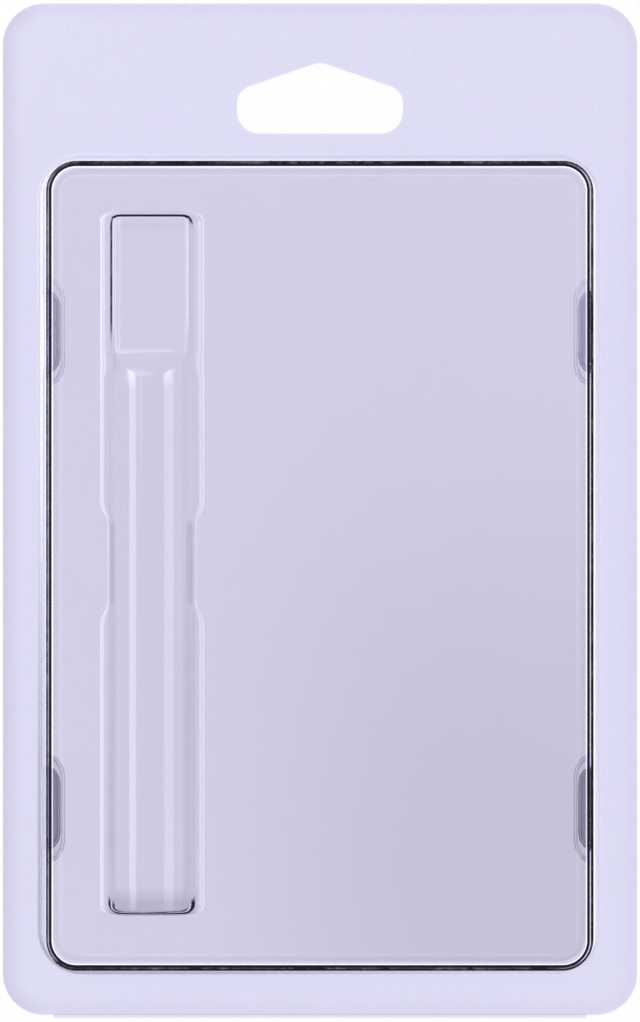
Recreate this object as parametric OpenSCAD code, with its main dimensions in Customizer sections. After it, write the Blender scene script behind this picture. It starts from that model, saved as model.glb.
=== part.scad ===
// Clear clamshell blister pack for a slim pen-shaped device, lying closed on its back.
// X runs across the pack, Y up towards the hanging hole, Z out of the front face.
// The origin is under the middle of the pack, on the surface that it lies on.

/* [Film] */
// Gauge of the formed film
film = 0.4; // [0.3:0.05:0.6]
// Air gap between the cover and the tray, at the flanges and at the nested walls
gap = 0.3; // [0.2:0.05:0.5]

/* [Flange] */
// Width of the pack
pack_w = 100; // [80:1:130]
// Length of the pack, fold included
pack_l = 160; // [130:1:200]
// Radius of the flange corners
flange_corner_r = 6.5; // [4:0.5:10]
// Length of flange left free at each end of the folded strip
hinge_relief = 1.5; // [0.5:0.5:8]
// Flange width beside the box
side_margin = 6; // [4:0.1:12]
// Flange width between the fold and the box
fold_margin = 6.8; // [4:0.1:12]

/* [Box] */
// Sideways shift of the box from the middle of the pack
box_x = -0.1; // [-1.5:0.1:1.5]
// Height of the box above the flange
box_h = 11; // [10:0.5:16]
// Slope of the box walls
draft = 10; // [7:0.5:12]
// Radius of the box corners at its foot
box_corner_r = 6.6; // [5.5:0.1:10]
// Radius of the bend from flange to wall
root_r = 0.6; // [0.4:0.1:1]
// Radius of the bend from wall to face
edge_r = 1.1; // [0.8:0.1:1.5]

/* [Plug] */
// Height of the nested plug above the tray's flange
plug_h = 7; // [6.5:0.1:8]
// Radius of the bend round the plug's face
plug_edge_r = 1; // [0.8:0.1:1.5]

/* [Snap dents] */
// Radius of a dent across its section
dent_r = 2.6; // [2.2:0.1:3]
// Depth of a dent in the box wall
dent_depth = 2.5; // [1:0.1:2.6]
// Length of a dent's straight run
dent_run = 7.8; // [4:0.2:14]
// Height of a dent's middle above the flange
dent_h = 3.6; // [3.3:0.1:4]
// Distance from the top of the box to the middle of an upper dent
dent_above = 27.8; // [18:0.2:34]
// Distance from the bottom of the box to the middle of a lower dent
dent_below = 26.2; // [18:0.2:34]
// Room left for a dent at each end of its flute
flute_slack = 1.25; // [1:0.05:2]

/* [Pen bubble] */
// Distance from the box's left side to the middle of the bubble
bubble_side = 18.3; // [14:0.1:26]
// Distance from the top of the box to the bubble's upper end
bubble_above = 9.6; // [6:0.2:20]
// Distance from the bottom of the box to the bubble's lower end
bubble_below = 10.4; // [6:0.2:20]
// Outside width of the barrel
barrel_w = 12.7; // [10:0.1:16]
// How far the bubble's foot flares out on each side of the barrel
flare_w = 1.9; // [1.4:0.05:2.5]
// How far the flare is pinched in on each side
pinch_in = 1.25; // [0.5:0.05:1.35]
// Height of the barrel above the face
barrel_h = 8; // [7:0.1:10]
// How much narrower the flat mouthpiece pad is than the barrel, on each side
pad_in = 0.3; // [0:0.05:1.5]
// Length of the mouthpiece pad
pad_l = 21.5; // [14:0.5:30]
// Height of the mouthpiece pad above the face
pad_h = 5; // [4.5:0.1:6]
// Length of the shoulder between pad and barrel
shoulder_l = 4.4; // [3:0.2:8]
// How far the shoulder is waisted on each side
neck_in = 0.8; // [0:0.1:1.5]
// Length of the pinched stretch
pinch_l = 12.4; // [6:0.2:20]
// Length of the ramp into and out of the pinch
pinch_ramp = 3.2; // [2:0.2:6]
// Length of the rise at each end of the bubble
end_run = 1.9; // [1.4:0.1:3]
// Radius of the bubble's corners, seen from the front
end_corner_r = 1.8; // [1:0.1:3]

/* [Hanging hole] */
// Width of the hole
hang_w = 26.2; // [20:0.2:32]
// Height of the hole at its peak
hang_h = 11.2; // [10:0.1:12]
// Distance from the pack's top edge to the peak
hang_drop = 9.3; // [6:0.1:14]
// Distance from the hole's lower edge to the box
hang_clear = 3.65; // [2:0.05:10]
// Radius of the lower corners
hang_foot_r = 3.5; // [2:0.1:4]
// Radius of the shoulders
hang_shoulder_r = 2.9; // [2:0.1:4]
// Height of the shoulder arcs' centres above the hole's lower edge
hang_shoulder_h = 4.8; // [4:0.1:5.5]
// Radius of the peak
hang_peak_r = 3.2; // [1:0.1:4]

/* [Hidden] */

// Facets in a quarter of a box corner, of a bend, of a dent's section and of its rounded ends
corner_steps = 9;
bend_steps = 5;
dent_steps = 5;
dent_end_steps = 4;
// Facets in the bubble's flare and on each side of its crown
flare_steps = 4;
crown_steps = 8;
// Facets along a ramp or an end of the bubble
ramp_steps = 6;
// Crown shape: 2 is round, more is squarer
round_crown = 2;
square_crown = 6;
// How far a cutting shape runs past what it cuts, and how far a merged shape sinks into its base
overcut = 1;
seam = 0.02;

// The folded strip: its inner radius closes the gap, its outer one is a film's gauge larger
fold_in_r = gap / 2;
fold_out_r = fold_in_r + film;
hinge_w = pack_w - 2 * (flange_corner_r + hinge_relief);
hinge_y = fold_out_r - pack_l / 2;
hinge_z = fold_out_r;

// Heights of the cover's flange, its box face and the plug's face
cover_foot_z = film + gap;
cover_top_z = cover_foot_z + film;
face_z = cover_top_z + box_h;
plug_z = film + plug_h;
// Depth below the cover's outer surface of each later surface: cover inside, tray outside, tray inside
cover_in = film;
tray_out = film + gap;
tray_in = tray_out + film;

// The flange starts at the fold's axis, and the box fills it up to its margins and the hanging hole
flange_l = pack_l / 2 - hinge_y;
flange_mid = [0, hinge_y + flange_l / 2];
hang_foot_y = pack_l / 2 - hang_drop - hang_h;
box_foot_y = hinge_y + fold_margin;
box_w = pack_w - 2 * side_margin;
box_l = hang_foot_y - hang_clear - box_foot_y;
box_mid = [box_x, box_foot_y + box_l / 2];

// The bubble fills the box's face between its own margins
bubble_l = box_l - bubble_above - bubble_below;
bubble_top_y = box_foot_y + bubble_below + bubble_l;
bubble_mid_x = box_mid.x - box_w / 2 + bubble_side;
foot_w = barrel_w + 2 * flare_w;
pinch_w = foot_w - 2 * pinch_in;
pad_w = barrel_w - 2 * pad_in;

// 0 to 1 with soft ends
function ease(t) = (1 - cos(180 * min(max(t, 0), 1))) / 2;
function mixed(a, b, t) = a + (b - a) * ease(t);

// Rounded rectangle at height z, as a ring of points with so many steps to a corner
function ring(w, l, r, z, mid, steps) = [
    for (k = [0:3], i = [0:steps])
        let (
            a = 90 * (k + i / steps),
            side = k == 0 || k == 3 ? 1 : -1,
            end = k < 2 ? 1 : -1
        )
        [mid.x + side * (w / 2 - r) + r * cos(a), mid.y + end * (l / 2 - r) + r * sin(a), z]
];

// Ring of the flange's outline, and of the box's foot drawn in by inset
function flange_ring(z) = ring(pack_w, flange_l, flange_corner_r, z, flange_mid, corner_steps);
function box_ring(inset, z) =
    ring(box_w - 2 * inset, box_l - 2 * inset, box_corner_r - inset, z, box_mid, corner_steps);

// Wall of the cover or the plug, as [inset, height] from root bend to face bend.
// depth is measured from the cover's outer surface, and the bends keep their centres at every depth.
function wall(depth, top_z, bend_r, bend_depth) =
    let (
        root = [-root_r * (1 - sin(draft)) / cos(draft), cover_top_z + root_r],
        edge_z = top_z - bend_r,
        edge = [((edge_z - cover_top_z) * sin(draft) + bend_depth + bend_r) / cos(draft), edge_z],
        root_at = root_r + depth,
        edge_at = bend_r + bend_depth - depth
    )
    concat(
        [for (i = [0:bend_steps])
            let (a = -90 + (90 - draft) * i / bend_steps)
            root + root_at * [cos(a), sin(a)]],
        [for (i = [0:bend_steps])
            let (a = 180 - draft - (90 - draft) * i / bend_steps)
            edge + edge_at * [cos(a), sin(a)]]
    );
function cover_wall(depth) = wall(depth, face_z, edge_r, 0);
function plug_wall(depth) = wall(depth, plug_z, plug_edge_r, tray_out);
function wall_rings(profile) = [for (p = profile) box_ring(p[0], p[1])];

// Solid through rings of equal length, closed by flat ends
module loft(rings) {
    n = len(rings[0]);
    last = len(rings) - 1;
    sides = [
        for (j = [0:last - 1], i = [0:n - 1])
            let (k = (i + 1) % n, a = j * n + i, b = j * n + k)
            each [[a, a + n, b + n], [a, b + n, b]]
    ];
    ends = [[for (i = [0:n - 1]) i], [for (i = [n - 1:-1:0]) last * n + i]];
    polyhedron(points = [for (r = rings) each r], faces = concat(sides, ends));
}

// Flange plate that rises into a formed wall, from the flange's underside up to the face
module formed(foot_z, profile) {
    loft(concat([flange_ring(foot_z), flange_ring(profile[0][1])], wall_rings(profile)));
}

// Hollow under a formed wall, open below
module hollow(profile) {
    loft(concat([box_ring(profile[0][0], profile[0][1] - overcut)], wall_rings(profile)));
}

// Half of the bubble's section: the flare from its foot, a wall up to the spring line, then the crown
function half_section(half_foot, half_w, spring_h, crest_h, crown, depth) =
    let (flare = half_foot - half_w, rise = crest_h - depth - spring_h)
    concat(
        [for (i = [0:flare_steps])
            let (a = 270 - 90 * i / flare_steps)
            [half_foot + (flare + depth) * cos(a), flare + (flare + depth) * sin(a)]],
        [for (i = [1:crown_steps])
            let (a = 90 * i / crown_steps)
            [(half_w - depth) * pow(abs(cos(a)), 2 / crown), spring_h + rise * pow(sin(a), 2 / crown)]]
    );

// Bubble section at distance t from its upper end, as a ring in the XZ plane
function bubble_ring(t, depth) =
    let (
        from_end = min(t, bubble_l - t) - depth,
        bend = max(end_corner_r - from_end, 0),
        corner_in = end_corner_r - sqrt(max(pow(end_corner_r, 2) - pow(bend, 2), 0)),
        past_pad = (t - pad_l) / shoulder_l,
        waist = neck_in * (1 - pow(2 * min(max(past_pad, 0), 1) - 1, 2)),
        from_pinch = (abs(t - bubble_l / 2) - pinch_l / 2) / pinch_ramp,
        half_w = mixed(pad_w, barrel_w, past_pad) / 2 - waist,
        half = half_section(
            mixed(pinch_w, foot_w, from_pinch) / 2 - corner_in,
            half_w - corner_in,
            foot_w / 2 - half_w,
            mixed(pad_h, barrel_h, past_pad),
            mixed(square_crown, round_crown, past_pad),
            depth),
        lift = ease(from_end / end_run),
        foot_x = half[0].x,
        foot_z = -depth - film / 2,
        right = concat([[foot_x, foot_z]], [for (p = half) [p.x, (p[1] + depth) * lift - depth]]),
        left = [for (i = [len(right) - 2:-1:0]) [-right[i].x, right[i][1]]]
    )
    [for (p = concat(right, left))
        [bubble_mid_x + p.x, bubble_top_y - t, face_z - seam + p[1]]];

// Where along the bubble its section is drawn
function ramp_stops(start, run) = [for (i = [0:ramp_steps]) start + run * i / ramp_steps];
function bubble_stops(depth) = concat(
    ramp_stops(depth, end_run),
    ramp_stops(pad_l, shoulder_l),
    ramp_stops((bubble_l - pinch_l) / 2 - pinch_ramp, pinch_ramp),
    ramp_stops((bubble_l + pinch_l) / 2, pinch_ramp),
    ramp_stops(bubble_l - depth - end_run, end_run)
);
module bubble(depth) {
    loft([for (t = bubble_stops(depth)) bubble_ring(t, depth)]);
}

// One dent: a capsule along Y of radius r, or with an open top the flute that it slides out of
module dent(r, run, open_top) {
    rounds = [for (i = [-dent_steps + 1:(open_top ? 0 : dent_steps - 1)]) 90 * i / dent_steps];
    foot = [for (a = rounds) [r * cos(a), r * sin(a)]];
    path = open_top ? concat(foot, [[r, plug_z + overcut - dent_z]]) : foot;
    loft([for (p = path) ring(2 * p[0], run + 2 * p[0], p[0], p[1], [0, 0], dent_end_steps)]);
}

// The dents stand at one height on both long walls, in an upper and a lower pair
dent_z = cover_top_z + dent_h;
dent_out = box_w / 2 - dent_h * tan(draft) + (dent_r - dent_depth) / cos(draft);
dent_rows = [box_foot_y + box_l - dent_above, box_foot_y + dent_below];
module at_dents() {
    for (side = [-1, 1], y = dent_rows)
        translate([box_mid.x + side * dent_out, y, dent_z])
            children();
}

// Hole for a display hook, with a peaked top that centres the pack
module hang_hole() {
    translate([0, hang_foot_y, -overcut])
        linear_extrude(cover_top_z + 2 * overcut)
            hull() {
                for (side = [-1, 1]) {
                    translate([side * (hang_w / 2 - hang_foot_r), hang_foot_r])
                        circle(hang_foot_r, $fn = 32);
                    translate([side * (hang_w / 2 - hang_shoulder_r), hang_shoulder_h])
                        circle(hang_shoulder_r, $fn = 32);
                }
                translate([0, hang_h - hang_peak_r])
                    circle(hang_peak_r, $fn = 32);
            }
}

// The dents cut into both faces of the film, a gauge apart, so the film keeps its thickness round them
module front_cover() {
    color([0.85, 0.84, 0.95, 0.5])
        difference() {
            union() {
                formed(cover_foot_z, cover_wall(0));
                bubble(0);
            }
            difference() {
                union() {
                    hollow(cover_wall(cover_in));
                    bubble(cover_in);
                }
                at_dents() dent(dent_r + film, dent_run, false);
            }
            at_dents() dent(dent_r, dent_run, false);
            hang_hole();
        }
}

// The flutes clear the dents by the gap, and are open above so that the cover lifts straight off
module back_tray() {
    flute_r = dent_r + film + gap;
    flute_run = dent_run + 2 * flute_slack;
    color([0.8, 0.79, 0.91, 0.5])
        difference() {
            formed(0, plug_wall(tray_out));
            difference() {
                hollow(plug_wall(tray_in));
                at_dents() dent(flute_r + film, flute_run, true);
            }
            at_dents() dent(flute_r, flute_run, true);
            hang_hole();
        }
}

// Strip of film folded back on itself round the hinge axis
module living_hinge() {
    color([0.78, 0.77, 0.9, 0.5])
        translate([0, hinge_y, hinge_z])
            rotate([90, 0, 90])
                linear_extrude(hinge_w, center = true)
                    difference() {
                        circle(fold_out_r, $fn = 48);
                        circle(fold_in_r, $fn = 48);
                        translate([0, -overcut - fold_out_r])
                            square(2 * (overcut + fold_out_r));
                    }
}

front_cover();
back_tray();
living_hinge();
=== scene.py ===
import math

import bmesh
import bpy
from bpy.props import FloatProperty, FloatVectorProperty, PointerProperty
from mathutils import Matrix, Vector


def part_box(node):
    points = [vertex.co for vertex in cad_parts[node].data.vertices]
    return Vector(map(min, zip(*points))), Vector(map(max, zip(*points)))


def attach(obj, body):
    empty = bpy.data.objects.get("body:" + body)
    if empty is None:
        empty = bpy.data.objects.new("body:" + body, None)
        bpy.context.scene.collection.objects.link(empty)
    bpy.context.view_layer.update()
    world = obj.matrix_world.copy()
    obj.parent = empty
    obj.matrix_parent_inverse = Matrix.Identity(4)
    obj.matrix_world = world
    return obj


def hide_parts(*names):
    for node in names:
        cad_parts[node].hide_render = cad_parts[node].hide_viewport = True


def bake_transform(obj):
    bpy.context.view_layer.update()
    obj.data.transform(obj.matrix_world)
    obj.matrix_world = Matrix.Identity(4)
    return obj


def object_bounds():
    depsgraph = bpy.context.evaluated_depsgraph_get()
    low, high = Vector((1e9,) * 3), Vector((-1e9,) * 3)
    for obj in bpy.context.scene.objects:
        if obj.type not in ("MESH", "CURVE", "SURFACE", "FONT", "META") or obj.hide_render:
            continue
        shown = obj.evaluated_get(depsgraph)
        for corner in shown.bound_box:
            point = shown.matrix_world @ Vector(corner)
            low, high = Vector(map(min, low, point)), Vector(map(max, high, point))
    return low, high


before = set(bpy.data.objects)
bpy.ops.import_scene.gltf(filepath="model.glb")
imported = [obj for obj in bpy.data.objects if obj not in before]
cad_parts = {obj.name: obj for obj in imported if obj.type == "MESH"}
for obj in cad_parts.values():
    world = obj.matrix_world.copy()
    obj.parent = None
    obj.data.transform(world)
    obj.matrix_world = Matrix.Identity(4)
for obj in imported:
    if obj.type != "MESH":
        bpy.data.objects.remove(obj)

bl_info = {
    "name": "Clamshell Blister Pack",
    "version": (1, 0, 0),
    "blender": (4, 5, 0),
    "location": "3D View > Sidebar > Blister Pack",
    "description": "Dresses the formed film of a clear clamshell pack and lays it in a studio",
    "category": "Object",
}

CAD_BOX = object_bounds()
FOLD_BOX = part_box("living_hinge")
MM = 0.001
# Corners of the CAD mesh closer than this are one corner, and bends flatter than this are smooth
WELD = 2e-6
SMOOTH_BEND = math.radians(32)
# Slopes and distances that tell the zones of the film apart
LEVEL_SLOPE = 0.9999
UPRIGHT_SLOPE = 0.001
UNDER_SLOPE = -0.02
ZONE_SLACK = 0.01 * MM
FACE_SLACK = 0.5 * MM
BUBBLE_INSET = 5 * MM
FOLD_STEPS = 18

WHITE = (1, 1, 1, 1)
# Gloss of the film, how far the painted shade and painted highlight lines hide it, and the roughness and
# painted glow of these lines
FACING_GLOSS = 0.075
EDGE_GLOSS = 0.9
SHADE_HIDES_GLOSS = 0.95
LIGHT_HIDES_GLOSS = 0.7
LINE_ROUGHNESS = 0.6
PAINTED_LINE_GLOW = 0.3
# Soft waves in the film, and how strong they are on the walls and on the bubble
WAVES_PER_METRE = 110
WAVE_STRENGTH = 0.2
WAVE_HEIGHT = 0.1 * MM
WALL_RIPPLE = 0.6
BUBBLE_RIPPLE = 0.5
# Dust on the flange
DUST_PER_METRE = 150
DUST_SIZE = (0.008, 0.02)
DUST_STRENGTH = 0.3
# Painted shade that darkens the drawn film towards its lower right, with its place on the pack in mm, and
# random clouding laid over it
SHADE_ACROSS = (-30, 25)
SHADE_ALONG = (-60, 46)
CLOUD_DRIFT = 0.4
CLOUDS_PER_METRE = 16
# Unevenness of the painted shade lines, in cells to the metre
WALL_GRAIN = 420
BUBBLE_GRAIN = 500
# From which share of edge-on the painted shade and highlight lines on bends and on upright walls start to
# show, and where they are full
BENT_FILM = (0.35, 0.6)
UPRIGHT_FILM = (0.6, 0.85)
# Profiles of the painted shade lines and painted highlights, in mm past the edge or middle that each
# follows: start, first full, last full, end
INNER_GLINT = (-0.03, 0.03, 0.09, 0.21)
FAINT_GLINT = (4.0, 4.25, 4.3, 4.6)
FOOT_GLINT = (0.0, 0.12, 0.7, 0.95)
FOOT_LINE = (-0.45, -0.25, 0.0, 0.2)
OUTER_LINE = (0.12, 0.19, 0.4, 0.47)
LEANING_LINE = (-0.14, -0.06, 0.36, 0.44)
LIP_GLINT = (-0.2, -0.1, 0.02, 0.12)
LEANING_GLINT = (-0.8, -0.5, -0.15, -0.05)
DENT_LOW_END = (1, 7, 12, 14)
PAD_STRETCH = (-21, -17, 0, 1)
PAD_LINE = (-0.3, -0.2, 0.26, 0.4)
PAD_GLINT = (-0.52, -0.44, -0.36, -0.26)
PINCH_LEFT = (4.9, 5.6, 6.3, 6.6)
PINCH_RIGHT = (5.3, 5.45, 5.6, 5.8)
PINCH_RIGHT_SHADE = (5.4, 5.7, 6.2, 6.5)
TAIL_OUTER = (-0.9, -0.72, -0.36, -0.2)
TAIL_INNER = (-1.8, -1.45, -1.2, -1.0)
TAIL_GLINT = (-1.1, -1.0, -0.85, -0.75)
BARREL_SIDE = (4.4, 5.8, 6.3, 7)
FLARE_ALONG = (-8, -4.5, -4.2, -3.9)
FLARE_ACROSS = (1.7, 2.6, 3.0, 4.0)
INNER_GLINT_STRENGTH = 0.7
FAINT_GLINT_STRENGTH = 0.06
# How level the film lies in the painted highlight along the bubble's foot
FOOT_SLOPE = (0.962, 0.98, 0.991, 0.998)
# Outlines that the bubble's painted shade and painted highlight lines follow
PAD_BELOW_HEAD = 1.15 * MM
PAD_CORNER = 1.3 * MM
TAIL_FLARE = 1.2 * MM
TAIL_CORNER = 2.2 * MM

# Studio, in metres
FLOOR_GAP = 0.1 * MM
FLOOR_WHITE = 0.84
FLOOR_CLOUD = 0.02
KEY_PLACE = (-0.5, 0.7, 1.1)
KEY_SIDE = 1.1
BARREL_MIDDLE = (-0.026, 0, 0.015)
STRIP_LENGTH = 0.5
LEFT_STRIP_PLACE = (-0.41, 0.0, 0.35)
LEFT_STRIP_WIDTH = 0.18
RIGHT_STRIP_PLACE = (0.37, 0.0, 0.33)
RIGHT_STRIP_WIDTH = 0.26
RIGHT_STRIP_SHARE = 0.9
SENSOR_WIDTH = 36
CLIP_RANGE = (0.01, 20)
FILM_SIDES_SEEN_THROUGH = 32


def length(name, description, default):
    """A length that the user can change."""
    return FloatProperty(
        name=name, description=description, default=default, unit="LENGTH", precision=5)


def share(name, description, default):
    """A share between none and all."""
    return FloatProperty(
        name=name, description=description, default=default, min=0, max=1, subtype="FACTOR")


def colour(name, description, default):
    """A linear colour."""
    return FloatVectorProperty(
        name=name, description=description, default=default, size=3, min=0, max=1, subtype="COLOR")


def spot(name, description, default):
    """A place on the pack, seen from the front."""
    return FloatVectorProperty(
        name=name, description=description, default=default, size=2, subtype="XYZ", unit="LENGTH")


class BlisterForm(bpy.types.PropertyGroup):
    """Where the forms of the pack lie, for finishes that follow them."""

    flange_mid: spot("Flange Middle", "Middle of the flange", (0, 0.275 * MM))
    flange_size: spot("Flange Size", "Width and length of the flange", (100 * MM, 159.45 * MM))
    flange_corner: length("Flange Corner", "Radius of the flange corners", 6.5 * MM)
    box_mid: spot("Box Middle", "Middle of the raised box", (-0.1 * MM, -8.4 * MM))
    box_size: spot("Box Size", "Width and length of the box at its foot", (88 * MM, 128.5 * MM))
    box_corner: length("Box Corner", "Radius of the box corners", 6.6 * MM)
    flange_height: length("Flange Height", "Height of the cover's flange", 1.1 * MM)
    face_height: length("Face Height", "Height of the box face", 12.1 * MM)
    tray_height: length("Tray Height", "Height of the tray's flange, which is one film", 0.4 * MM)
    plug_height: length("Plug Height", "Height of the plug's face", 7.4 * MM)
    draft: FloatProperty(
        name="Draft", description="Slope of the box walls", default=math.radians(10), subtype="ANGLE")
    bend_start: length("Bend Start", "How far inside the foot the wall bends into the face", 1.78 * MM)
    bend_end: length("Bend End", "How far inside the foot the face is flat", 2.86 * MM)
    dent_rows: spot("Dent Rows", "Y of the upper and of the lower dents", (28.05 * MM, -46.45 * MM))
    dent_reach: length("Dent Reach", "Half the length of a dent's flute", 9.5 * MM)
    dent_depth_start: length("Dent Start", "Depth from which a face belongs to a dent", 1.2 * MM)
    bubble_mid: spot("Bubble Middle", "Middle of the pen bubble", (-25.8 * MM, -8 * MM))
    bubble_length: length("Bubble Length", "Length of the pen bubble", 108.5 * MM)
    barrel_width: length("Barrel Width", "Width of the bubble's barrel", 12.7 * MM)
    pad_width: length("Pad Width", "Width of the mouthpiece pad", 12.1 * MM)
    pad_length: length("Pad Length", "Length of the mouthpiece pad", 21.5 * MM)


class BlisterFilm(bpy.types.PropertyGroup):
    """Colours and finish of the formed film, with the colours of the painted shade and painted highlights
    laid on it.
    """

    flange_tint: colour(
        "Flange Tint", "What one side of the flat film lets through", (0.9265, 0.924, 0.9775))
    # Painted shade: a darker tint along the flange's cut edge, strongest at its left
    edge_shade_tint: colour(
        "Rim Tint", "What one side of the film lets through at its left edge", (0.857, 0.842, 0.9))
    # The drawn film's own tint, made darker than the flange tint as painted shade for the shade inside the
    # raised box
    shaded_face_tint: colour(
        "Face Tint", "What one side of the drawn film lets through", (0.8985, 0.8875, 0.9445))
    # Painted shade towards the face's lower right, and random clouding, both take this darker tint
    shade_and_cloud_tint: colour(
        "Deep Tint", "What one side lets through where the drawn film clouds", (0.829, 0.817, 0.876))
    # Painted shade: the near-black colour of the dark lines in the bends, where the film shows dark
    bend_shade: colour("Bend Shade", "Colour that shows in the sharp bends", (0.01, 0.006, 0.018))
    glint: colour("Glint", "Colour of the bright lines beside the bends", (0.95, 0.95, 1.0))
    # Painted shade: the dark colour of the lines on the dents' steep sides
    dent_shade: colour("Dent Shade", "Colour that shows in the dents", (0.07, 0.035, 0.09))
    haze: share("Haze", "How milky the film is", 0.02)
    roughness: share("Roughness", "Roughness of the gloss", 0.11)


class BlisterStudio(bpy.types.PropertyGroup):
    """Floor, light and camera."""

    floor_colour: colour("Floor Colour", "Colour of the floor", (0.93, 0.93, 0.93))
    floor_size: length("Floor Size", "Side of the floor", 6.0)
    camera_height: length("Camera Height", "Height of the camera above the flange", 450 * MM)
    view_length: length("View Length", "Length of flange that the picture covers", 161.1 * MM)
    fill: FloatProperty(name="Fill", description="Strength of the light from all round", default=0.76, min=0)
    key: FloatProperty(
        name="Key", description="Power of the large lamp", default=4.5, min=0, unit="POWER")
    strip: FloatProperty(
        name="Strip", description="Power of the left strip lamp", default=0.52, min=0, unit="POWER")


class Wire:
    """A shader socket that takes part in arithmetic, and the nodes that it makes."""

    def __init__(self, tree, socket=None):
        self.tree = tree
        self.socket = socket

    def node(self, kind, values=None, output=0, **settings):
        """Adds a node with these settings, fills its sockets and returns one output."""
        made = self.tree.nodes.new(kind)
        for name, value in settings.items():
            setattr(made, name, value)
        for name, value in (values or {}).items():
            if isinstance(value, Wire):
                self.tree.links.new(value.socket, made.inputs[name])
            else:
                made.inputs[name].default_value = value
        return None if output is None else Wire(self.tree, made.outputs[output])

    def maths(self, operation, first, second=0.0):
        return self.node("ShaderNodeMath", {0: first, 1: second}, operation=operation)

    def __add__(self, other):
        return self.maths("ADD", self, other)

    def __radd__(self, other):
        return self.maths("ADD", other, self)

    def __sub__(self, other):
        return self.maths("SUBTRACT", self, other)

    def __rsub__(self, other):
        return self.maths("SUBTRACT", other, self)

    def __mul__(self, other):
        return self.maths("MULTIPLY", self, other)

    def __rmul__(self, other):
        return self.maths("MULTIPLY", other, self)

    def __truediv__(self, other):
        return self.maths("DIVIDE", self, other)

    def __pow__(self, other):
        return self.maths("POWER", self, other)

    def __abs__(self):
        return self.maths("ABSOLUTE", self)

    def most(self, other):
        return self.maths("MAXIMUM", self, other)

    def least(self, other):
        return self.maths("MINIMUM", self, other)

    def rise(self, start, end):
        """0 below start and 1 above end, with soft ends."""
        return self.node(
            "ShaderNodeMapRange", {"Value": self, "From Min": start, "From Max": end},
            interpolation_type="SMOOTHSTEP")

    def fall(self, start, end):
        """1 below start and 0 above end, with soft ends."""
        return 1 - self.rise(start, end)

    def band(self, start, full, last, end):
        """1 from full to last and 0 outside start and end."""
        return self.rise(start, full) * self.fall(last, end)

    def step(self, origin, first, last):
        """0 up to first mm past origin and 1 from last mm past it, with soft ends."""
        return self.rise(origin + first * MM, origin + last * MM)

    def between(self, start, rising, end, falling):
        """1 between two places, with soft ends given in mm past each."""
        return self.step(start, *rising) * (1 - self.step(end, *falling))

    def stripe(self, origin, profile):
        """A line with this profile past origin."""
        return self.between(origin, profile[:2], origin, profile[2:])

    def split(self):
        """The three parts of a vector."""
        return [self.node("ShaderNodeSeparateXYZ", {0: self}, output=axis) for axis in "XYZ"]

    def noise(self, scale, detail=2.0, roughness=0.5):
        """Soft noise at so many cells to the metre."""
        return self.node(
            "ShaderNodeTexNoise",
            {"Vector": self, "Scale": scale, "Detail": detail, "Roughness": roughness}, output="Fac")


def new_material(name):
    """An empty node material, and a wire to start its nodes from."""
    material = bpy.data.materials.new(name)
    material.use_nodes = True
    material.node_tree.nodes.clear()
    return material, Wire(material.node_tree)


def object_place(wire):
    """Where a point of the film lies on the pack."""
    return wire.node("ShaderNodeTexCoord", output="Object")


def levelness(wire):
    """1 where the film lies level and 0 where it stands upright."""
    return abs(wire.node("ShaderNodeTexCoord", output="Normal").split()[2])


def edge_on(wire):
    """0 where the film faces the viewer and 1 where it is seen edge-on."""
    return wire.node("ShaderNodeLayerWeight", {"Blend": 0.5}, output="Facing")


def outline(x, y, mid, size, corner):
    """Distance outside a rounded rectangle, less than 0 inside it."""
    across = abs(x - mid[0]) - (size[0] / 2 - corner)
    along = abs(y - mid[1]) - (size[1] / 2 - corner)
    past_corner = (across.most(0) ** 2 + along.most(0) ** 2) ** 0.5
    return past_corner + across.most(along).least(0) - corner


def see_through(wire, tint):
    """Film that only tints."""
    return wire.node("ShaderNodeBsdfTransparent", {"Color": (*tint, 1)})


def film_finish(material, wire, clear, tint, film, painted_shade=None, light=None, shade_tone=None, ripple=1.0):
    """Lays painted shade as dark lines, and painted highlights (on the flange, dust) as bright marks that
    glow, over what the film lets through, and gloss over both.

    Rays to the lamps and off the floor pass through the film with its tint alone.
    """
    shine = FACING_GLOSS + EDGE_GLOSS * edge_on(wire) ** 5
    body = clear
    # Painted shade takes the dark colour; painted highlights, and on the flange dust, take the glint colour
    if light is not None:
        solid, tone = light, (*film.glint, 1)
        if painted_shade is not None:
            solid = painted_shade.most(light).most(film.haze)
            dark = (*(shade_tone or film.bend_shade), 1)
            tone = wire.node(
                "ShaderNodeMix", {0: painted_shade / solid, 6: tone, 7: dark}, output=2, data_type="RGBA")
            shine = shine * (1 - SHADE_HIDES_GLOSS * painted_shade)
        shine = shine * (1 - LIGHT_HIDES_GLOSS * light.least(1))
        lines = wire.node(
            "ShaderNodeBsdfPrincipled",
            {"Base Color": tone, "Roughness": LINE_ROUGHNESS, "Specular IOR Level": 0.0,
             "Emission Color": tone, "Emission Strength": PAINTED_LINE_GLOW})
        body = wire.node("ShaderNodeMixShader", {0: solid, 1: clear, 2: lines})
    waves = object_place(wire).noise(WAVES_PER_METRE, detail=0)
    bump = wire.node(
        "ShaderNodeBump", {"Strength": WAVE_STRENGTH * ripple, "Distance": WAVE_HEIGHT, "Height": waves},
        output="Normal")
    gloss = wire.node(
        "ShaderNodeBsdfGlossy", {"Color": WHITE, "Roughness": film.roughness, "Normal": bump},
        distribution="GGX")
    seen = wire.node("ShaderNodeMixShader", {0: shine, 1: body, 2: gloss})
    to_lamps = wire.node("ShaderNodeLightPath", output="Is Shadow Ray").most(
        wire.node("ShaderNodeLightPath", output="Is Diffuse Ray"))
    surface = wire.node("ShaderNodeMixShader", {0: to_lamps, 1: seen, 2: see_through(wire, tint)})
    wire.node("ShaderNodeOutputMaterial", {"Surface": surface}, output=None)
    return material


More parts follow.
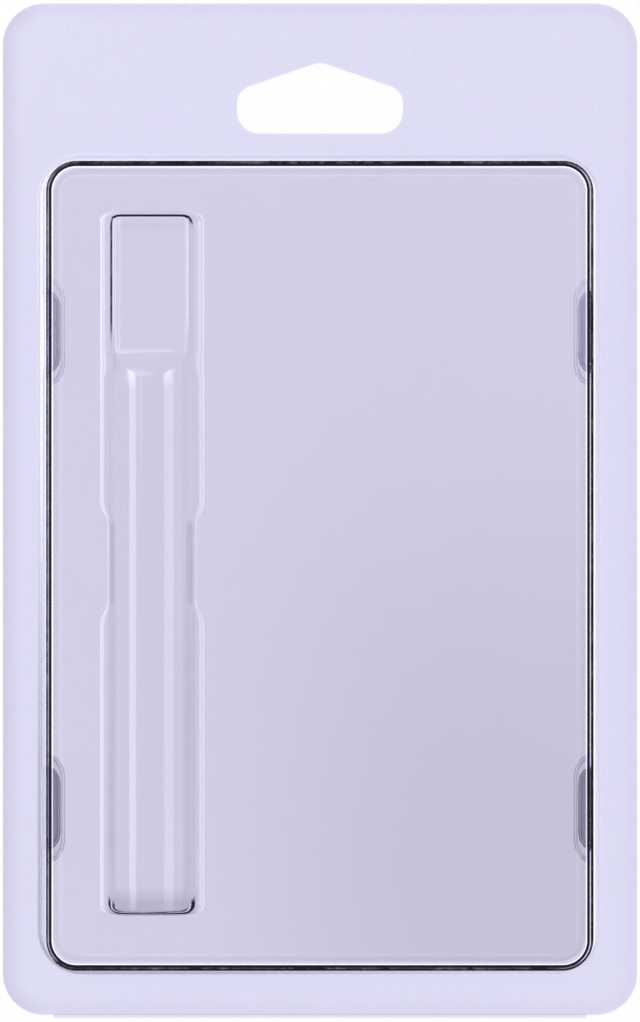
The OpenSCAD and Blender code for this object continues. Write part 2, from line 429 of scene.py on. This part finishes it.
def under_film(name, tint):
    """The film's under side, which only tints."""
    material, wire = new_material(name)
    wire.node("ShaderNodeOutputMaterial", {"Surface": see_through(wire, tint)}, output=None)
    return material


def flange_film(form, film):
    """Flat film round the box, with painted shade along its cut edge, and dust on it."""
    material, wire = new_material("flange film")
    place = object_place(wire)
    x, y = place.split()[:2]
    left_edge = form.flange_mid[0] - form.flange_size[0] / 2
    past_edge = outline(x, y, form.flange_mid, form.flange_size, form.flange_corner)
    on_left = 1 - x.step(left_edge, 2, 8)
    # Painted shade: the band along the cut edge, strongest on the left
    rim = past_edge.step(0, -3.4, 0.4) * (0.4 + 0.6 * on_left)
    clear = wire.node(
        "ShaderNodeMixShader",
        {0: rim, 1: see_through(wire, film.flange_tint), 2: see_through(wire, film.edge_shade_tint)})
    grain = wire.node(
        "ShaderNodeTexVoronoi", {"Vector": place, "Scale": DUST_PER_METRE}, output="Distance",
        voronoi_dimensions="2D")
    dust = grain.fall(*DUST_SIZE) * DUST_STRENGTH
    return film_finish(material, wire, clear, film.flange_tint, film, light=dust)


def grazing(wire, limits):
    """1 where the film is seen nearly edge-on, where its painted shade and highlight lines show, and 0 where
    it faces the viewer.
    """
    return edge_on(wire).rise(*limits)


def drawn_clear(wire, place, film):
    """What drawn film lets through, darker towards its lower right as painted shade, with random clouding
    over it.
    """
    x, y = place.split()[:2]
    shade_and_cloud = x.step(0, *SHADE_ACROSS) * (1 - y.step(0, *SHADE_ALONG))
    shade_and_cloud = shade_and_cloud + CLOUD_DRIFT * (place.noise(CLOUDS_PER_METRE) - 0.5)
    return wire.node(
        "ShaderNodeMixShader",
        {0: shade_and_cloud.most(0).least(1), 1: see_through(wire, film.shaded_face_tint),
         2: see_through(wire, film.shade_and_cloud_tint)})


def plug_film(film):
    """Drawn film of the plug's face."""
    material, wire = new_material("plug film")
    clear = drawn_clear(wire, object_place(wire), film)
    return film_finish(material, wire, clear, film.shaded_face_tint, film)


def box_inset(x, y, form):
    """How far a place lies inside the box's foot."""
    return 0 - outline(x, y, form.box_mid, form.box_size, form.box_corner)


def box_feet(form):
    """The left, right, lower and upper edge of the box's foot."""
    (mid_x, mid_y), (width, long) = form.box_mid, form.box_size
    return mid_x - width / 2, mid_x + width / 2, mid_y - long / 2, mid_y + long / 2


def inner_glint(inset, form):
    """The painted highlight just inside the box's edge."""
    return INNER_GLINT_STRENGTH * inset.stripe(form.bend_end, INNER_GLINT)


def foot_glint(x, y, form):
    """The painted highlight along the foot of the box's left wall, strongest in its upper half."""
    left_foot = box_feet(form)[0]
    on_left = (1 - x.step(left_foot, 1, 8)) * (y - x).step(0, 0, 60)
    return box_inset(x, y, form).stripe(0, FOOT_GLINT) * (0.15 + 0.68 * on_left) * on_left


def face_film(form, film):
    """Drawn film of the box face, with a painted highlight along its edge and a fainter one further in."""
    material, wire = new_material("face film")
    place = object_place(wire)
    x, y = place.split()[:2]
    inset = box_inset(x, y, form)
    light = inner_glint(inset, form).most(FAINT_GLINT_STRENGTH * inset.stripe(0, FAINT_GLINT))
    clear = drawn_clear(wire, place, film)
    return film_finish(material, wire, clear, film.shaded_face_tint, film, light=light)


def wall_film(form, film):
    """Wall of the box: painted shade as a dark double line where it bends into the face, a dark line at its
    foot and a darker lower left, and painted highlights beside them.
    """
    material, wire = new_material("cover wall film")
    place = object_place(wire)
    x, y = place.split()[:2]
    inset = box_inset(x, y, form)
    start, end = form.bend_start, form.bend_end
    right_foot, low_foot, high_foot = box_feet(form)[1:]
    right = x.step(right_foot, -7.9, -2.9)
    bottom = 1 - y.step(low_foot, 3.05, 4.05)
    top = y.step(high_foot, -4.35, -3.35)
    lean = right.most(bottom)
    lower_right = (0.8 * x - y).step(0, -40, 40)
    lower_left = (0 - x - y).step(0, 30, 100)
    uneven = place.noise(WALL_GRAIN, roughness=0.7) - 0.5

    # Painted shade: the dark double line in the bend, the line at the foot, and the wall darker towards the
    # lower left
    outer = inset.stripe(start, OUTER_LINE).most(lean * inset.stripe(start, LEANING_LINE))
    inner = inset.between(start, (0.57, 0.64), end, (-0.08, 0))
    core = inset.between(start, (0.2, 0.3), end, (-0.4, -0.3))
    stroke = (outer * (0.92 + 0.1 * lower_right + 0.5 * uneven)).most(inner * (1.02 + 0.1 * uneven))
    stroke = stroke.most(core * (0.5 - 0.4 * right + 0.45 * top.most(bottom) + 0.6 * uneven))
    foot_shade = inset.stripe(0, FOOT_LINE) * (0.08 + 0.32 * lower_left)
    painted_shade = stroke.most(foot_shade).most(0.17 * lower_left).least(1)

    # Painted highlights along the left wall's foot, at the lip of the bend and just inside the edge
    turned_up = levelness(wire).rise(0.3, 0.5)
    upright = grazing(wire, UPRIGHT_FILM)
    foot_light = foot_glint(x, y, form) * upright.most(turned_up)
    lip = (0.8 * inset.stripe(start, LIP_GLINT)).most(lean * inset.stripe(start, LEANING_GLINT))
    light = inner_glint(inset, form).most(foot_light).most(lip * upright)
    clear = see_through(wire, film.flange_tint)
    return film_finish(material, wire, clear, film.flange_tint, film, painted_shade, light, ripple=WALL_RIPPLE)


def plug_wall_film(film):
    """Wall of the nested plug, seen only through the cover."""
    material, wire = new_material("plug wall film")
    clear = see_through(wire, film.flange_tint)
    return film_finish(material, wire, clear, film.flange_tint, film, ripple=WALL_RIPPLE)


def dent_film(name, form, film, strength):
    """Snap dents or the flutes that they slide out of, with painted shade where they stand steep and towards
    the bottom, and painted highlights.
    """
    material, wire = new_material(name)
    x, y = object_place(wire).split()[:2]
    upper_row, lower_row = form.dent_rows
    flat = levelness(wire)
    lower = (0 - y).step(0, -5, 15)
    low_end = (lower_row - y).step(0, 1, 7).most((upper_row - y).stripe(0, DENT_LOW_END))
    # Painted shade on the steep sides, stronger towards the bottom and at the lower ends, over a faint
    # painted shade on the whole dent; painted highlights on level parts and along the box's foot
    steep = flat.fall(0.05, 0.5) * (0.2 + 0.8 * grazing(wire, BENT_FILM))
    painted_shade = (steep * (0.3 + 0.25 * lower + 0.35 * low_end) + 0.1 + 0.1 * lower) * strength
    at_foot = foot_glint(x, y, form) * strength
    light = (flat.rise(0.97, 1.0) * 0.05).most(at_foot)
    clear = see_through(wire, film.shaded_face_tint)
    painted_shade = painted_shade * (1 - at_foot)
    return film_finish(
        material, wire, clear, film.shaded_face_tint, film, painted_shade, light, film.dent_shade, ripple=WALL_RIPPLE)


def pad_lines(x, y, left, uneven, form):
    """Painted shade as a dark line round the top and left of the mouthpiece pad, and a painted highlight
    inside it.
    """
    mid_x, mid_y = form.bubble_mid
    head = mid_y + form.bubble_length / 2
    pad_top = head - PAD_BELOW_HEAD
    pad_mid = (mid_x, pad_top - form.pad_length / 2)
    rim = outline(x, y, pad_mid, (form.pad_width, form.pad_length), PAD_CORNER)
    along = y.stripe(head, PAD_STRETCH)
    across_top = y.step(pad_top, -1.6, -0.6)
    painted_shade = rim.stripe(0, PAD_LINE) * along * across_top.most(left * (0.92 + uneven)).most(0.08)
    return painted_shade, rim.stripe(0, PAD_GLINT) * along * (0.5 - 0.25 * across_top)


def pinch_lines(y, aside, left, form):
    """Painted shade as dark lines along both sides of the pinch at half length."""
    pinched = 1 - abs(y - form.bubble_mid[1]).step(0, 5.6, 7.2)
    on_left = aside.stripe(0, PINCH_LEFT) * left * 0.22
    on_right = (aside.stripe(0, PINCH_RIGHT) * 0.5).most(aside.stripe(0, PINCH_RIGHT_SHADE) * 0.26)
    return pinched * on_left.most(on_right * (1 - left))


def tail_lines(x, y, uneven, form):
    """Painted shade as two dark lines round the bubble's lower end, and a painted highlight between them."""
    tail = form.bubble_mid[1] - form.bubble_length / 2
    size = (form.barrel_width + TAIL_FLARE, form.bubble_length)
    rim = outline(x, y, form.bubble_mid, size, TAIL_CORNER)
    at_tail = 1 - y.step(tail, 2.0, 3.6)
    outer = rim.stripe(0, TAIL_OUTER) * (1.25 + 0.9 * uneven)
    inner = rim.stripe(0, TAIL_INNER) * (0.85 + 1.6 * uneven)
    return at_tail * outer.most(inner), at_tail * rim.stripe(0, TAIL_GLINT) * 0.6


def bubble_film(form, film):
    """Pen bubble: painted highlights along its foot and at its shoulder, and painted shade round its pad, on
    its steep sides, at its pinch, at its end and along its barrel.
    """
    material, wire = new_material("bubble film")
    place = object_place(wire)
    x, y, z = place.split()
    mid_x, mid_y = form.bubble_mid
    tail = mid_y - form.bubble_length / 2
    shoulder = mid_y + form.bubble_length / 2 - PAD_BELOW_HEAD - form.pad_length
    flat = levelness(wire)
    raised = z.step(form.face_height, 0.15, 0.4)
    aside = abs(x - mid_x)
    left = (mid_x - x).step(0, 0, 1)
    uneven = place.noise(BUBBLE_GRAIN, roughness=0.7) - 0.5

    pad_shade, pad_light = pad_lines(x, y, left, uneven, form)
    tail_shade, tail_light = tail_lines(x, y, uneven, form)
    # Painted shade on the steep sides of the bubble, stronger on the left
    flank_shade = flat.fall(0.05, 0.25) * (0.34 + 0.3 * uneven) * (0.35 + 0.65 * left)
    drawn = pad_shade.most(pinch_lines(y, aside, left, form)).most(tail_shade).most(flank_shade)
    drawn = drawn * raised * grazing(wire, BENT_FILM)

    # Painted shade over the lower end, along the barrel's sides and faintly over the whole raised bubble
    end_shade = (1 - y.step(tail, 1.5, 6.5)) * (1 - aside.step(0, 6, 7.5)) * 0.3
    low_half = 1 - y.step(mid_y, -14, 6)
    side_shade = aside.stripe(0, BARREL_SIDE) * raised * (0.05 + 0.1 * low_half)
    on_barrel = 1 - y.step(shoulder, -2, 1)
    body_shade = (0.015 + 0.03 * on_barrel) * raised
    painted_shade = drawn.most(end_shade).most(side_shade).most(body_shade).least(1)

    # Painted highlights: a bright patch where the barrel meets the pad, a bright line along the foot, and
    # those of the pad and tail
    shoulder_highlight = (y - 0.6 * aside).stripe(shoulder, FLARE_ALONG) * aside.stripe(0, FLARE_ACROSS)
    foot = (1 - raised) * flat.band(*FOOT_SLOPE) * aside.step(0, 5.4, 6.4)
    light = (foot * (0.26 + 0.1 * left)).most(pad_light).most(tail_light).most(0.3 * shoulder_highlight)
    clear = drawn_clear(wire, place, film)
    return film_finish(material, wire, clear, film.shaded_face_tint, film, painted_shade, light, ripple=BUBBLE_RIPPLE)


def new_piece(name, shape, materials):
    """Makes an object of a bmesh, with smooth bends."""
    mesh = bpy.data.meshes.new(name)
    for face in shape.faces:
        face.smooth = True
    shape.to_mesh(mesh)
    shape.free()
    if "custom_normal" in mesh.attributes:
        mesh.attributes.remove(mesh.attributes["custom_normal"])
    for material in materials:
        mesh.materials.append(material)
    mesh.set_sharp_from_angle(angle=SMOOTH_BEND)
    piece = bpy.data.objects.new(name, mesh)
    bpy.context.scene.collection.objects.link(piece)
    return piece


def inside_box(spot, form, inset):
    """How far a place lies inside the box's foot, drawn in by inset."""
    across = form.box_size[0] / 2 - inset - abs(spot.x - form.box_mid[0])
    along = form.box_size[1] / 2 - inset - abs(spot.y - form.box_mid[1])
    return min(across, along)


def film_zone(face, form, flange_top, face_top):
    """Which zone of a formed film a face belongs to: flange, wall, face, dent or bubble."""
    spot = face.calc_center_median()
    level = abs(face.normal.z) > LEVEL_SLOPE
    zone = formed_zone(face, spot, level, form, flange_top, face_top)
    if face.normal.z < UNDER_SLOPE and zone != "dent":
        return "flange back" if zone in ("flange", "wall") else "face back"
    return zone


def formed_zone(face, spot, level, form, flange_top, face_top):
    """The zone of a face on the film's outer side, by its place and slope."""
    drawn_in = (spot.z - flange_top) * math.tan(form.draft)
    if spot.z < flange_top + ZONE_SLACK and (level or abs(face.normal.z) < UPRIGHT_SLOPE):
        return "flange"
    if spot.z > face_top + ZONE_SLACK:
        return "bubble"
    if inside_box(spot, form, 0) > BUBBLE_INSET and not level:
        return "bubble"
    if level and spot.z > face_top - FACE_SLACK:
        return "face"
    off_wall = inside_box(spot, form, drawn_in)
    near_dent = min(abs(spot.y - row) for row in form.dent_rows) < form.dent_reach
    at_side = abs(spot.x - form.box_mid[0]) > form.box_size[0] / 3
    if near_dent and at_side and off_wall > form.dent_depth_start:
        return "dent"
    return "wall"


def film_piece(name, node, body, films, flange_top, face_top):
    """The film of one CAD node, with its corners welded, smooth bends and a finish for each zone."""
    form = bpy.context.scene.blister_form
    shape = bmesh.new()
    shape.from_mesh(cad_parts[node].data)
    bmesh.ops.remove_doubles(shape, verts=shape.verts, dist=WELD)
    zones = list(films)
    for face in shape.faces:
        face.material_index = zones.index(film_zone(face, form, flange_top, face_top))
    piece = new_piece(name, shape, films.values())
    even = piece.modifiers.new("Even Normals", "WEIGHTED_NORMAL")
    even.mode = "FACE_AREA_WITH_ANGLE"
    even.keep_sharp = True
    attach(piece, body)
    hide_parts(node)


class BLISTER_OT_shells(bpy.types.Operator):
    """Dress the cover with its box and pen bubble, and the tray with its nested plug"""

    bl_idname = "blister.shells"
    bl_label = "Cover and Tray"

    def execute(self, context):
        form, film = context.scene.blister_form, context.scene.blister_film
        both = {
            "flange": flange_film(form, film),
            "flange back": under_film("flange back", film.flange_tint),
            "face back": under_film("face back", film.shaded_face_tint)}
        cover = both | {
            "face": face_film(form, film), "wall": wall_film(form, film),
            "dent": dent_film("dent film", form, film, 1.0), "bubble": bubble_film(form, film)}
        film_piece(
            "cover_shell", "front_cover", "cover", cover, form.flange_height,
            form.face_height)
        tray = both | {
            "face": plug_film(film), "wall": plug_wall_film(film),
            "dent": dent_film("flute film", form, film, 0.5)}
        film_piece(
            "tray_shell", "back_tray", "tray", tray, form.tray_height, form.plug_height)
        return {"FINISHED"}


class BLISTER_OT_fold(bpy.types.Operator):
    """Fold the strip of film that joins tray and cover"""

    bl_idname = "blister.fold"
    bl_label = "Folded Strip"

    def execute(self, context):
        form, film = context.scene.blister_form, context.scene.blister_film
        low, high = FOLD_BOX
        axis = Vector((0, high.y, (low.z + high.z) / 2))
        outer = (high.z - low.z) / 2
        inner = outer - form.tray_height
        shape = bmesh.new()
        corners = [(low.x, -outer), (high.x, -outer), (high.x, -inner), (low.x, -inner)]
        section = shape.faces.new([shape.verts.new((x, axis.y, axis.z + z)) for x, z in corners])
        bmesh.ops.spin(
            shape, geom=[section, *section.edges, *section.verts], cent=axis, axis=(1, 0, 0),
            angle=-math.pi, steps=FOLD_STEPS, use_duplicate=False)
        bmesh.ops.recalc_face_normals(shape, faces=shape.faces)
        strip = new_piece("fold_strip", shape, [flange_film(form, film)])
        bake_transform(strip)
        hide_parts("living_hinge")
        return {"FINISHED"}


def seen_share(wire):
    """1 for a ray from the camera, off a gloss or through glass, and 0 for a ray that carries light."""
    path = wire.node("ShaderNodeLightPath", output="Is Camera Ray")
    gloss = wire.node("ShaderNodeLightPath", output="Is Glossy Ray")
    glass = wire.node("ShaderNodeLightPath", output="Is Transmission Ray")
    return path.most(gloss).most(glass)


def floor_material(studio):
    """White floor that keeps part of the shadow that falls on it."""
    material, wire = new_material("studio floor")
    place = object_place(wire)
    lit = wire.node("ShaderNodeBsdfDiffuse", {"Color": (*studio.floor_colour, 1)})
    white = wire.node("ShaderNodeEmission", {"Color": WHITE, "Strength": 1})
    seen = seen_share(wire) * (FLOOR_WHITE + FLOOR_CLOUD * place.noise(3))
    surface = wire.node("ShaderNodeMixShader", {0: seen, 1: lit, 2: white})
    wire.node("ShaderNodeOutputMaterial", {"Surface": surface}, output=None)
    return material


def lamp(name, place, aim, power, size_x, size_y):
    """A rectangular lamp that points at aim, with size_x level."""
    light = bpy.data.lights.new(name, "AREA")
    light.shape = "RECTANGLE"
    light.size, light.size_y = size_x, size_y
    light.energy = power
    made = bpy.data.objects.new(name, light)
    made.location = place
    made.rotation_mode = "QUATERNION"
    made.rotation_quaternion = (Vector(aim) - Vector(place)).to_track_quat("-Z", "Y")
    bpy.context.scene.collection.objects.link(made)


class BLISTER_OT_studio(bpy.types.Operator):
    """Lay out the floor, the light and the camera"""

    bl_idname = "blister.studio"
    bl_label = "Studio"

    def execute(self, context):
        scene = context.scene
        studio = scene.blister_studio
        shape = bmesh.new()
        bmesh.ops.create_grid(shape, x_segments=1, y_segments=1, size=studio.floor_size / 2)
        bmesh.ops.translate(shape, verts=shape.verts, vec=(0, 0, -FLOOR_GAP))
        new_piece("floor", shape, [floor_material(studio)])

        world = bpy.data.worlds.new("studio")
        world.use_nodes = True
        world.node_tree.nodes.clear()
        scene.world = world
        wire = Wire(world.node_tree)
        fill = wire.node("ShaderNodeBackground", {"Color": WHITE, "Strength": studio.fill})
        white = wire.node("ShaderNodeBackground", {"Color": WHITE, "Strength": 1})
        sky = wire.node("ShaderNodeMixShader", {0: seen_share(wire), 1: fill, 2: white})
        wire.node("ShaderNodeOutputWorld", {"Surface": sky}, output=None)

        middle = (CAD_BOX[0] + CAD_BOX[1]) / 2
        lamp("key", KEY_PLACE, middle, studio.key, KEY_SIDE, KEY_SIDE)
        lamp(
            "left strip", LEFT_STRIP_PLACE, BARREL_MIDDLE, studio.strip, STRIP_LENGTH, LEFT_STRIP_WIDTH)
        lamp(
            "right strip", RIGHT_STRIP_PLACE, BARREL_MIDDLE, RIGHT_STRIP_SHARE * studio.strip,
            STRIP_LENGTH, RIGHT_STRIP_WIDTH)

        camera = bpy.data.cameras.new("front")
        camera.sensor_width = SENSOR_WIDTH
        camera.lens = camera.sensor_width * studio.camera_height / studio.view_length
        camera.clip_start, camera.clip_end = CLIP_RANGE
        seen_from = bpy.data.objects.new("front", camera)
        seen_from.location = (0, 0, scene.blister_form.flange_height + studio.camera_height)
        scene.collection.objects.link(seen_from)
        scene.camera = seen_from
        scene.view_settings.view_transform = "Standard"
        scene.cycles.transparent_max_bounces = FILM_SIDES_SEEN_THROUGH
        return {"FINISHED"}


class BLISTER_PT_pack(bpy.types.Panel):
    """Pieces of the pack and their settings"""

    bl_idname = "BLISTER_PT_pack"
    bl_label = "Blister Pack"
    bl_space_type = "VIEW_3D"
    bl_region_type = "UI"
    bl_category = "Blister Pack"

    def draw(self, context):
        for group in GROUPS:
            column = self.layout.column()
            settings = getattr(context.scene, group)
            for name in settings.__annotations__:
                column.prop(settings, name)
        for operator in OPERATORS:
            self.layout.operator(operator.bl_idname)


GROUPS = {"blister_form": BlisterForm, "blister_film": BlisterFilm, "blister_studio": BlisterStudio}
OPERATORS = (BLISTER_OT_studio, BLISTER_OT_shells, BLISTER_OT_fold)
CLASSES = (*GROUPS.values(), *OPERATORS, BLISTER_PT_pack)


def register():
    for kind in CLASSES:
        bpy.utils.register_class(kind)
    for name, kind in GROUPS.items():
        setattr(bpy.types.Scene, name, PointerProperty(type=kind))


def unregister():
    for name in GROUPS:
        delattr(bpy.types.Scene, name)
    for kind in reversed(CLASSES):
        bpy.utils.unregister_class(kind)


def main():
    register()
    bpy.ops.blister.studio()
    bpy.ops.blister.shells()
    bpy.ops.blister.fold()


if __name__ == "__main__":
    main()
